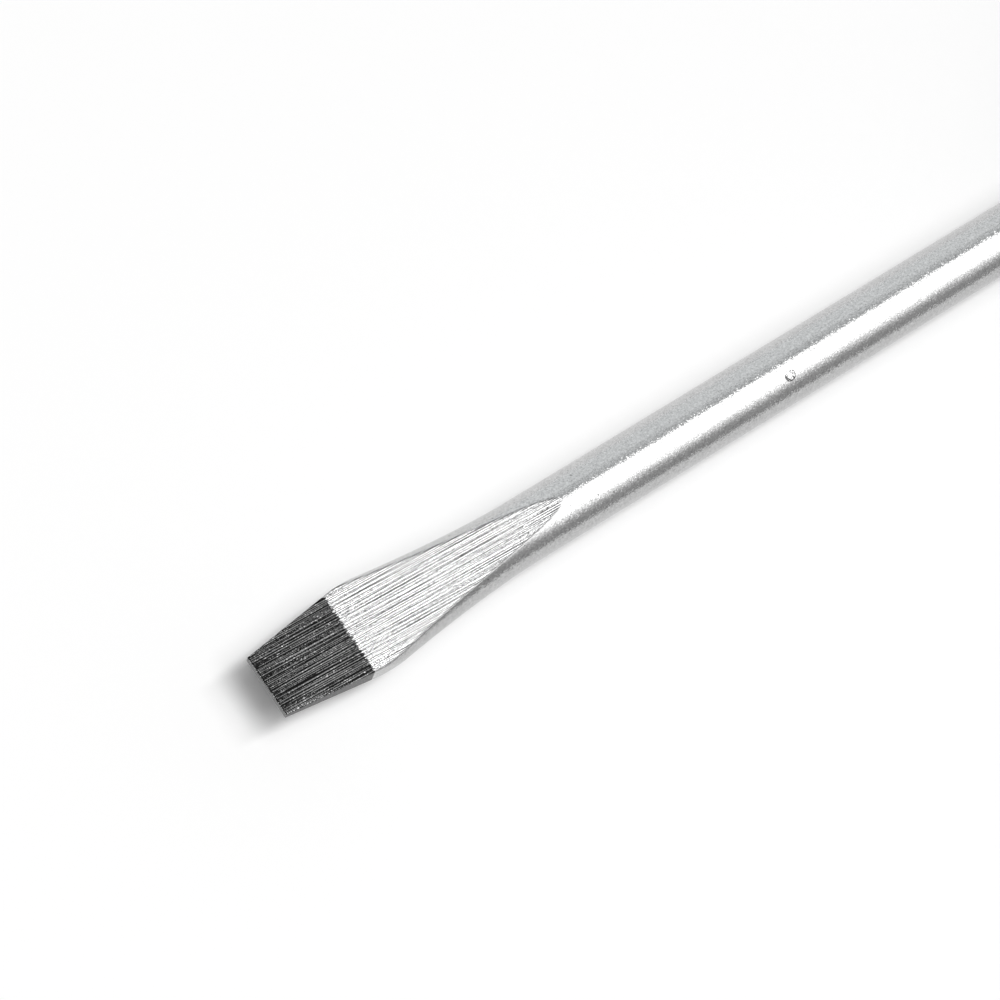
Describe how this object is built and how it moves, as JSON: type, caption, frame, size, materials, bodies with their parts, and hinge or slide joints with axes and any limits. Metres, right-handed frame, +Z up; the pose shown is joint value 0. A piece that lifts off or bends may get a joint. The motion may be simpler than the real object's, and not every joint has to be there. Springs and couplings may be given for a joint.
{
  "type": "slotted screwdriver",
  "caption": "Slotted screwdriver: flared flat-ground tip on a round satin shank, in a handle with a hexagonal collar, waisted neck and soft grip strips.",
  "frame": {"origin": "on the surface that the tool lies on, below the middle of its length and width", "axes": "+X along the tool from the tip to the butt, +Y across the width of the tip, +Z up from the surface that the tool lies on"},
  "size_m": [0.205, 0.0296, 0.027],
  "materials": {
    "blade_steel": "satin chrome plate on the shank, bare ground flats, black finish on the tip",
    "core_plastic": "fine moulded grain",
    "grip_rubber": "matt soft rubber",
    "cap_plastic": "fine moulded grain",
    "disc_plastic": "smooth matt"
  },
  "bodies": {
    "root": {"blade": "blade_steel", "handle_core": "core_plastic", "grip_strip_1": "grip_rubber", "grip_strip_2": "grip_rubber", "grip_strip_3": "grip_rubber", "grip_strip_4": "grip_rubber", "grip_strip_5": "grip_rubber", "grip_strip_6": "grip_rubber", "end_cap": "cap_plastic", "marker_disc": "disc_plastic"}
  },
  "joints": []
}
